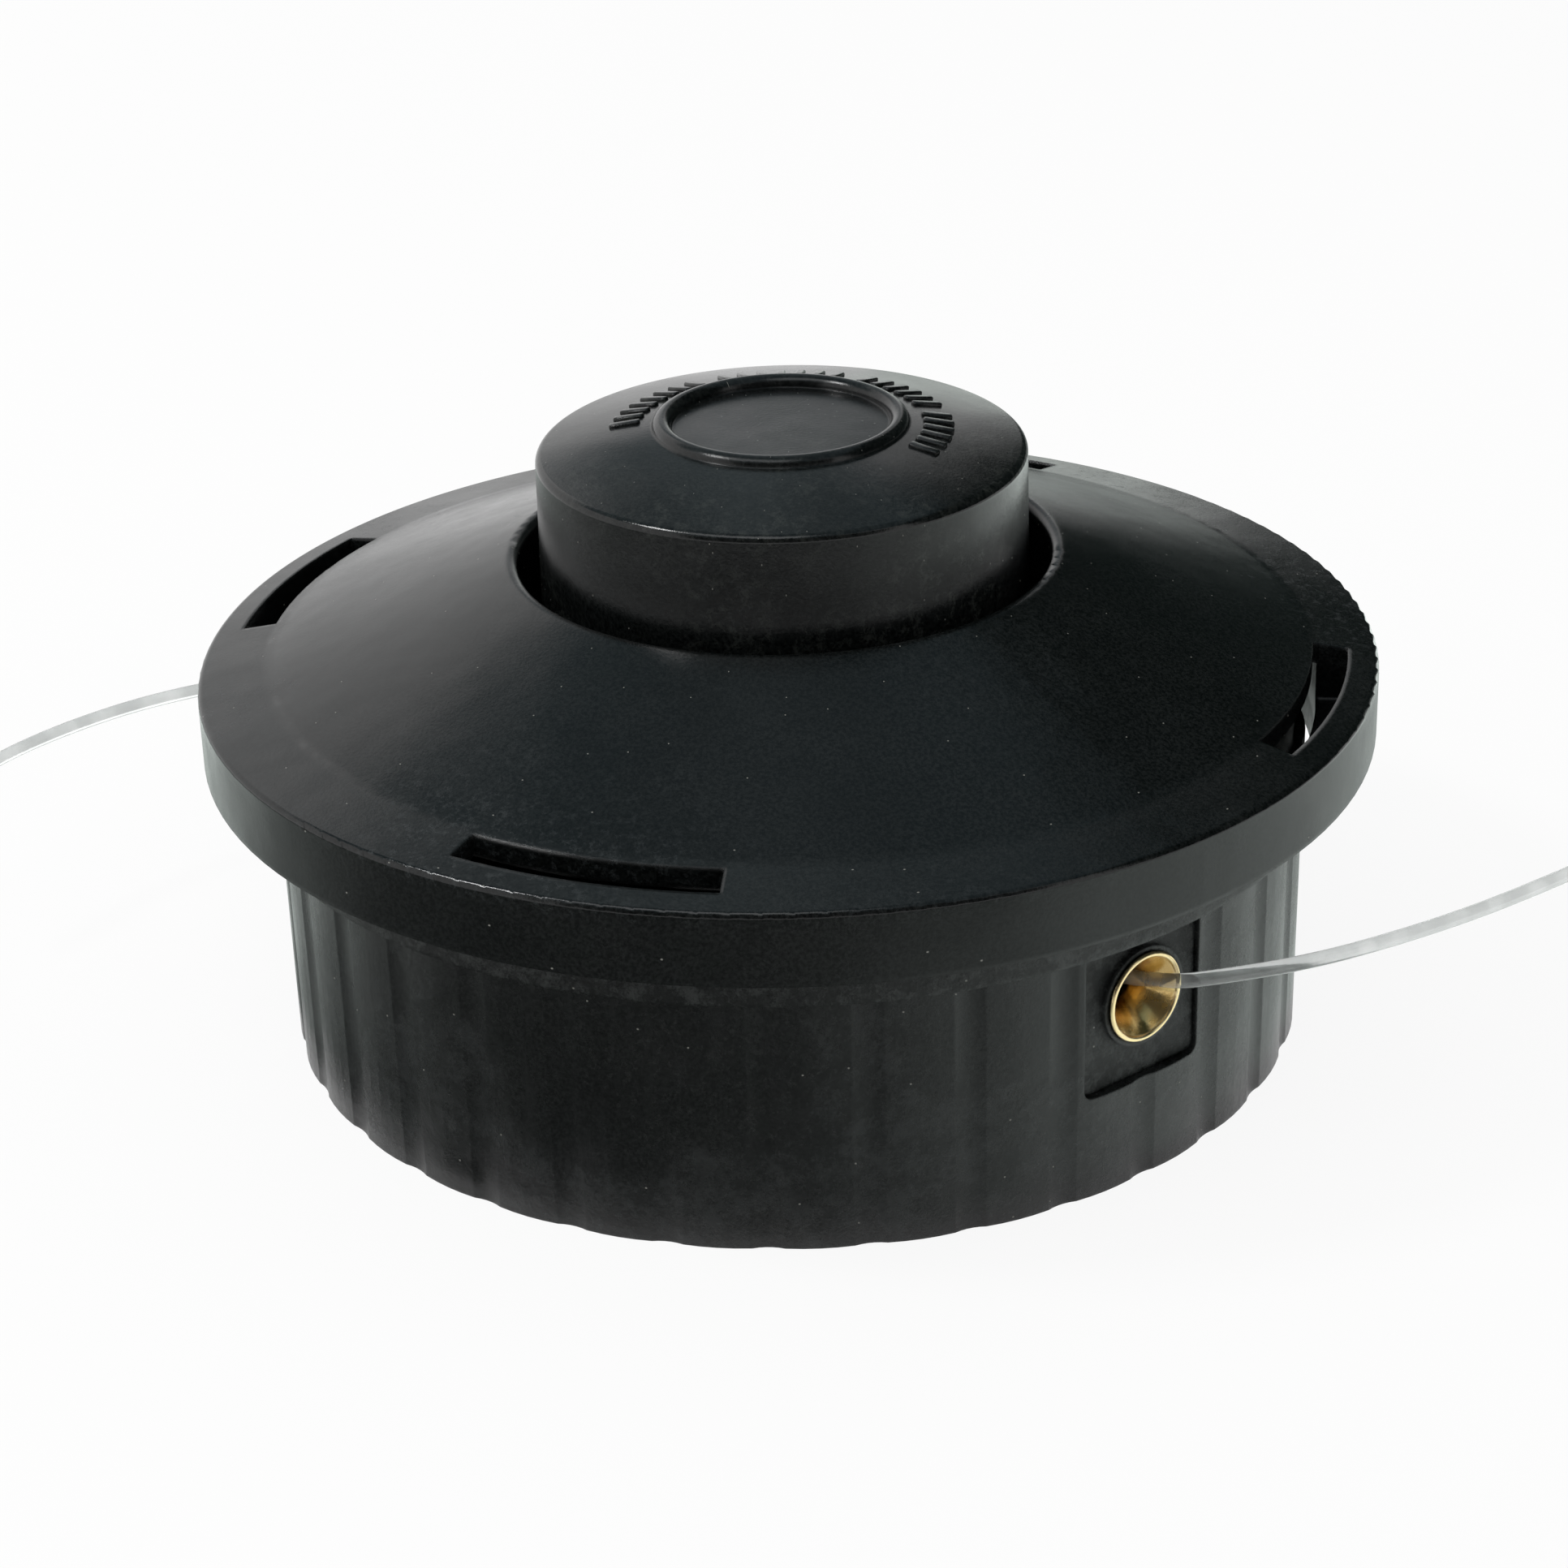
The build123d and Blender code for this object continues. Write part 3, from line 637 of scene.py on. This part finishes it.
def nylon(name, gloss, grain, swell, edge, turned=None):
    finish = Finish(name)
    finish.surface.inputs["Specular IOR Level"].default_value = NYLON_SHINE
    clouds = finish.noise(70, 6, 0.6)
    fine = finish.noise(GRAINS_PER_METRE, 4, 0.7)
    grey = finish.times(finish.steps(fine, 0.36, 0.66), finish.steps(clouds, 0.3, 0.7, 0.6, 1.0))
    finish.black = finish.mix(grey, DEEP_BLACK, GRAIN_BLACK)
    finish.gloss = finish.steps(clouds, 0.3, 0.7, gloss - 0.05, gloss + 0.05)
    normals = finish.soft_edge(edge)
    if turned:
        normals, finish.edge = turned_edge(finish, normals, turned)
    slow = finish.bump(finish.noise(38, 3, 0.5), swell, normals)
    finish.normal = finish.bump(fine, grain, slow)
    finish.dust = add_dust(finish)
    return finish


def close_finish(finish, colour, gloss, normal):
    """Lays the dust over the colour and plugs the layers into the surface."""
    inputs = finish.surface.inputs
    finish.join(finish.mix(finish.dust, colour, DUST_COLOUR), inputs["Base Color"])
    finish.join(finish.plus(gloss, finish.times(finish.dust, 0.3)), inputs["Roughness"])
    finish.join(normal, inputs["Normal"])
    print("finish", finish.material.name, len(finish.tree.nodes), "nodes")
    return finish.material


# %% [markdown]
# The cover. Its cone and land are handled most, so patches of them are rubbed into fine pale
# flecks, more on the land than on the cone. The upright skirt is a little duller than the cone. The
# two eyelet tongues below it are smudged, and chalky with the dust of dry grass.

# %% Cover finish
LAND_RADII = (0.0500, 0.0580)
LAND_EDGE = 0.0420
SKIRT_TOP = 0.0415
SKIRT_EDGE = 0.0405
TONGUE_TOP = 0.0345
RUBBED_GREY = (0.030, 0.034, 0.035)
CHALK_GREY = (0.040, 0.043, 0.041)
SMUDGE_GREY = (0.032, 0.035, 0.034)


def cover_finish():
    finish = nylon("cover_nylon", gloss=0.19, grain=0.000018, swell=0.00045, edge=0.0007, turned=COVER_RIM)
    radius, _, height = finish.cylinder()
    land = finish.steps(radius, *LAND_RADII)
    patches = finish.steps(finish.noise(24, 3), 0.40, 0.62)
    flecks = finish.steps(finish.noise(900, 6, 0.8), 0.50, 0.64)
    flecks = finish.times(flecks, finish.steps(height, SKIRT_EDGE, LAND_EDGE))
    rubbed = finish.times(finish.times(finish.plus(finish.times(land, 0.6), 0.4), flecks), patches)
    colour = finish.mix(finish.times(rubbed, 0.6), finish.black, RUBBED_GREY)
    chalk = finish.steps(finish.noise(620, 6, 0.75), 0.50, 0.72)
    low_chalk = finish.times(finish.steps(height, TONGUE_TOP, TONGUE_TOP - 0.001), chalk)
    colour = finish.mix(finish.times(low_chalk, 0.3), colour, CHALK_GREY)
    on_tongue = finish.steps(height, TONGUE_TOP, TONGUE_TOP - 0.002)
    smudge = finish.times(finish.noise(300, 8, 0.82), on_tongue)
    colour = finish.mix(finish.steps(smudge, 0.46, 0.60), colour, SMUDGE_GREY)
    gloss = finish.plus(finish.gloss, finish.times(rubbed, 0.10))
    gloss = finish.plus(gloss, finish.times(finish.steps(height, SKIRT_TOP, SKIRT_EDGE), 0.04))
    gloss = finish.minus(gloss, finish.times(finish.edge, 0.07))
    return close_finish(finish, colour, gloss, finish.bump(smudge, 0.00030, finish.normal))


cover_nylon = cover_finish()

# %% [markdown]
# The drum. It runs closest to the ground, so it has the dullest skin of the three: faint upright
# streaks, lighter and a little duller, which are painted sheen for the soft upright reflections on
# its round wall, fine speckle in patches, and smudges that also stand a little proud.

# %% Drum finish
# The first grey below is painted sheen: the lighter upright streaks on the drum's round wall.
SHEEN_STREAK_GREY = (0.013, 0.014, 0.0145)
SPECKLE_GREY = (0.030, 0.032, 0.031)
DRUM_SMUDGE_GREY = (0.017, 0.019, 0.019)
STREAKS_ROUND = 26
STREAKS_PER_METRE = 60


def drum_finish():
    finish = nylon("drum_nylon", gloss=0.24, grain=0.000018, swell=0.00016, edge=0.0004)
    _, angle, height = finish.cylinder()
    tall = finish.vector(finish.times(angle, STREAKS_ROUND), finish.times(height, STREAKS_PER_METRE), 0.0)
    sheen_streaks = finish.steps(finish.noise(1.0, 4, 0.6, tall), 0.45, 0.75)
    speckle = finish.steps(finish.noise(1100, 5, 0.75), 0.50, 0.72)
    marks = finish.times(speckle, finish.steps(finish.noise(30, 3), 0.42, 0.62))
    patches = finish.steps(finish.noise(55, 3), 0.40, 0.60, 0.45, 1.0)
    smudge = finish.times(finish.noise(300, 8, 0.82), patches)
    colour = finish.mix(finish.steps(smudge, 0.42, 0.60), finish.black, DRUM_SMUDGE_GREY)
    # Painted sheen: lighter upright streaks where the round wall shows soft reflections.
    colour = finish.mix(finish.times(sheen_streaks, 0.4), colour, SHEEN_STREAK_GREY)
    colour = finish.mix(finish.times(marks, 0.4), colour, SPECKLE_GREY)
    gloss = finish.plus(finish.gloss, finish.times(sheen_streaks, 0.05))
    gloss = finish.plus(gloss, finish.times(marks, 0.10))
    return close_finish(finish, colour, gloss, finish.bump(smudge, 0.00022, finish.normal))


drum_nylon = drum_finish()

# %% [markdown]
# The bump knob. It is knocked on the ground to feed line, so it has the smoothest skin but the most
# scuffs, and its upright wall is a little duller than its top.

# %% Knob finish
KNOB_WALL_RADII = (0.0262, 0.0266)
KNOB_WALL_HEIGHTS = (0.0658, 0.0650)
SCUFF_GREY = (0.032, 0.035, 0.032)


def knob_finish():
    finish = nylon("knob_skin", gloss=0.17, grain=0.000015, swell=0.00025, edge=0.0004, turned=KNOB_RIM)
    radius, _, height = finish.cylinder()
    wall = finish.times(finish.steps(radius, *KNOB_WALL_RADII), finish.steps(height, *KNOB_WALL_HEIGHTS))
    scuffs = finish.steps(finish.noise(700, 7, 0.8), 0.48, 0.64)
    rubbed = finish.times(scuffs, finish.steps(finish.noise(45, 3), 0.42, 0.62))
    colour = finish.mix(finish.times(rubbed, 0.7), finish.black, SCUFF_GREY)
    gloss = finish.plus(finish.gloss, finish.times(wall, 0.06))
    gloss = finish.minus(gloss, finish.times(finish.edge, 0.06))
    return close_finish(finish, colour, gloss, finish.normal)


knob_nylon = knob_finish()

# %% [markdown]
# Brass. The eyelets are turned on a lathe, so their shine is broken by fine rings round their own
# axis, which lies along X at the height of the line. Brass stains in soft darker clouds; the lip,
# which the line polishes, is palest, and the throat is darkest, which is painted shade in the hole.

# %% Brass finish
EYELET_HEIGHT = 0.0213
RINGS_PER_METRE = 9000
LIP_RADII = (0.0042, 0.0045)
THROAT_RADII = (0.0026, 0.0019)
BRASS = (0.88, 0.62, 0.26)
STAINED_BRASS = (0.66, 0.42, 0.13)
POLISHED_BRASS = (0.93, 0.74, 0.42)
SHADED_THROAT_BRASS = (0.42, 0.25, 0.07)


def brass_finish():
    finish = Finish("turned_brass")
    inputs = finish.surface.inputs
    inputs["Metallic"].default_value = 1.0
    _, across, height = finish.places()
    reach = finish.length(finish.minus(height, EYELET_HEIGHT), across)
    rings = finish.noise(1.0, 3, 0.6, finish.vector(finish.times(reach, RINGS_PER_METRE), 0.0, 0.0))
    stain = finish.noise(520, 4, 0.6)
    colour = finish.mix(finish.steps(stain, 0.4, 0.7), BRASS, STAINED_BRASS)
    colour = finish.mix(finish.steps(reach, *LIP_RADII), colour, POLISHED_BRASS)
    # Painted shade: the throat's brass is darkened for the shade inside the eyelet's hole.
    colour = finish.mix(finish.steps(reach, *THROAT_RADII), colour, SHADED_THROAT_BRASS)
    finish.join(colour, inputs["Base Color"])
    finish.join(finish.steps(stain, 0.3, 0.7, 0.14, 0.30), inputs["Roughness"])
    normal = finish.bump(rings, 0.000020, finish.soft_edge(0.0002))
    finish.join(finish.bump(stain, 0.00004, normal), inputs["Normal"])
    print("finish", finish.material.name, len(finish.tree.nodes), "nodes")
    return finish.material


brass = brass_finish()

# %% [markdown]
# Steel. The hidden nut, screw and washers are zinc plated: a pale grey with a faint cloudy bloom.
# The spring is plain drawn wire, which is darker and smoother. One recipe with two sets of greys
# makes both.

# %% Steel finishes


def steel_finish(name, pale, dark, gloss):
    finish = Finish(name)
    inputs = finish.surface.inputs
    inputs["Metallic"].default_value = 1.0
    bloom = finish.noise(400, 4, 0.6)
    finish.join(finish.mix(finish.steps(bloom, 0.35, 0.7), pale, dark), inputs["Base Color"])
    finish.join(finish.steps(bloom, 0.3, 0.7, gloss - 0.06, gloss + 0.08), inputs["Roughness"])
    finish.join(finish.bump(finish.noise(3000, 2), 0.000004, finish.soft_edge(0.0002)), inputs["Normal"])
    print("finish", name, len(finish.tree.nodes), "nodes")
    return finish.material


zinc = steel_finish("zinc_plate", pale=(0.66, 0.67, 0.68), dark=(0.48, 0.49, 0.50), gloss=0.35)
spring_wire = steel_finish("spring_wire", pale=(0.46, 0.47, 0.49), dark=(0.30, 0.31, 0.33), gloss=0.28)

# %% [markdown]
# The nylon line. Drawn nylon is clear but milky: light goes through it, spreads, and comes out
# paler. Transmission with a little roughness gives the glass, and a pale, faintly cloudy base
# colour gives the milk.

# %% Line finish
NYLON_BENDING = 1.53
CLEAR_SHARE = 0.88
MILK = (0.66, 0.68, 0.67)
PALE_MILK = (0.84, 0.86, 0.85)


def line_finish():
    finish = Finish("clear_line")
    inputs = finish.surface.inputs
    inputs["Transmission Weight"].default_value = CLEAR_SHARE
    inputs["IOR"].default_value = NYLON_BENDING
    milk = finish.noise(260, 3)
    finish.join(finish.mix(finish.steps(milk, 0.35, 0.7), MILK, PALE_MILK), inputs["Base Color"])
    finish.join(finish.steps(milk, 0.3, 0.7, 0.10, 0.22), inputs["Roughness"])
    finish.join(finish.bump(finish.noise(900, 2), 0.00001), inputs["Normal"])
    print("finish", finish.material.name, len(finish.tree.nodes), "nodes")
    return finish.material


clear_line = line_finish()

# %% [markdown]
# The bump spring. The real spring stands on a washer in the housing and carries the spool, so it
# shortens when the knob is pushed in. A rigid copy would cut through its seat. Here the wound wire
# is a plain copy of the CAD spring with its place baked into its points; it is tied to neither
# body and keeps its length.

# %% Bump spring


def add_spring(material):
    wound = bpy.data.objects.new("wound_spring", nodes["spring"].data.copy())
    wound.matrix_world = nodes["spring"].matrix_world.copy()
    bpy.context.scene.collection.objects.link(wound)
    wound.data.materials.clear()
    wound.data.materials.append(material)
    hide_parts("spring")
    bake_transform(wound)
    return wound


add_spring(spring_wire)

# %% [markdown]
# Raised bars on the knob. Short bars stand on most of the knob's ring, in four groups, and give a
# gloved hand something to turn it by. Each bar is a small box turned to its place and tilted to the
# crown, and a bevel modifier rounds its edges as a mould would, which is quicker to change than
# edges cut by hand.

# %% Knob bars
BAR_GROUPS = [(62, 97), (110, 145), (158, 200), (213, 262)]
BAR_STEP = 7
BAR_LENGTH = 0.0034
BAR_WIDTH = 0.0010
BAR_HEIGHT = 0.0007
BAR_MIDDLE = 0.0171
BAR_ROUND = 0.00018
CROWN_TOP = 0.06802
CROWN_TILT = math.radians(10.6)


def add_knob_bars(material):
    bm = bmesh.new()
    for first, last in BAR_GROUPS:
        for turn in range(first, last + 1, BAR_STEP):
            angle = math.radians(turn)
            outward = from_view(math.sin(angle), -math.cos(angle))
            facing = Matrix.Rotation(math.atan2(outward.y, outward.x), 4, "Z")
            tilt = Matrix.Rotation(CROWN_TILT, 4, "Y")
            place = Matrix.Translation(outward * BAR_MIDDLE + Vector((0, 0, CROWN_TOP)))
            size = Matrix.Diagonal((BAR_LENGTH, BAR_WIDTH, BAR_HEIGHT, 1))
            bmesh.ops.create_cube(bm, size=1.0, matrix=place @ facing @ tilt @ size)
    mesh = bpy.data.meshes.new("knob_bars")
    bm.to_mesh(mesh)
    bm.free()
    bars = bpy.data.objects.new("knob_bars", mesh)
    bpy.context.scene.collection.objects.link(bars)
    rounding = bars.modifiers.new("rounded_edges", "BEVEL")
    rounding.width = BAR_ROUND
    rounding.segments = 3
    for face in mesh.polygons:
        face.use_smooth = True
    mesh.materials.append(material)
    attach(bars, "spool")
    print("knob bars", len(mesh.polygons) // 6, "with six faces each")
    return bars


add_knob_bars(knob_nylon)

# %% [markdown]
# The finishes go onto the pieces. The CAD pieces keep their shapes and get one material each. The
# drum and the spool are moulded from the same nylon, and all plated parts share one zinc.

# %% Finishes on the pieces
FINISHES = {
    "housing": drum_nylon, "cover": cover_nylon, "bump_knob": knob_nylon, "spool": drum_nylon,
    "line_eyelet_right": brass, "line_eyelet_left": brass,
    "knob_screw": zinc, "knob_screw_washer": zinc, "shaft_nut": zinc,
    "spring_foot_washer": zinc, "spring_seat": zinc, "spring": spring_wire,
    "winding_upper": clear_line, "winding_lower": clear_line,
    "line_end_right": clear_line, "line_end_left": clear_line,
}
for name, material in FINISHES.items():
    nodes[name].data.materials.clear()
    nodes[name].data.materials.append(material)
for line in (line_right, line_left):
    line.data.materials.append(clear_line)
print("finishes on", len(FINISHES), "CAD pieces")

# %% [markdown]
# The colours. The plain view transform shows each colour about as it is written.

# %% Colours and the end
bpy.context.scene.view_settings.view_transform = "Standard"
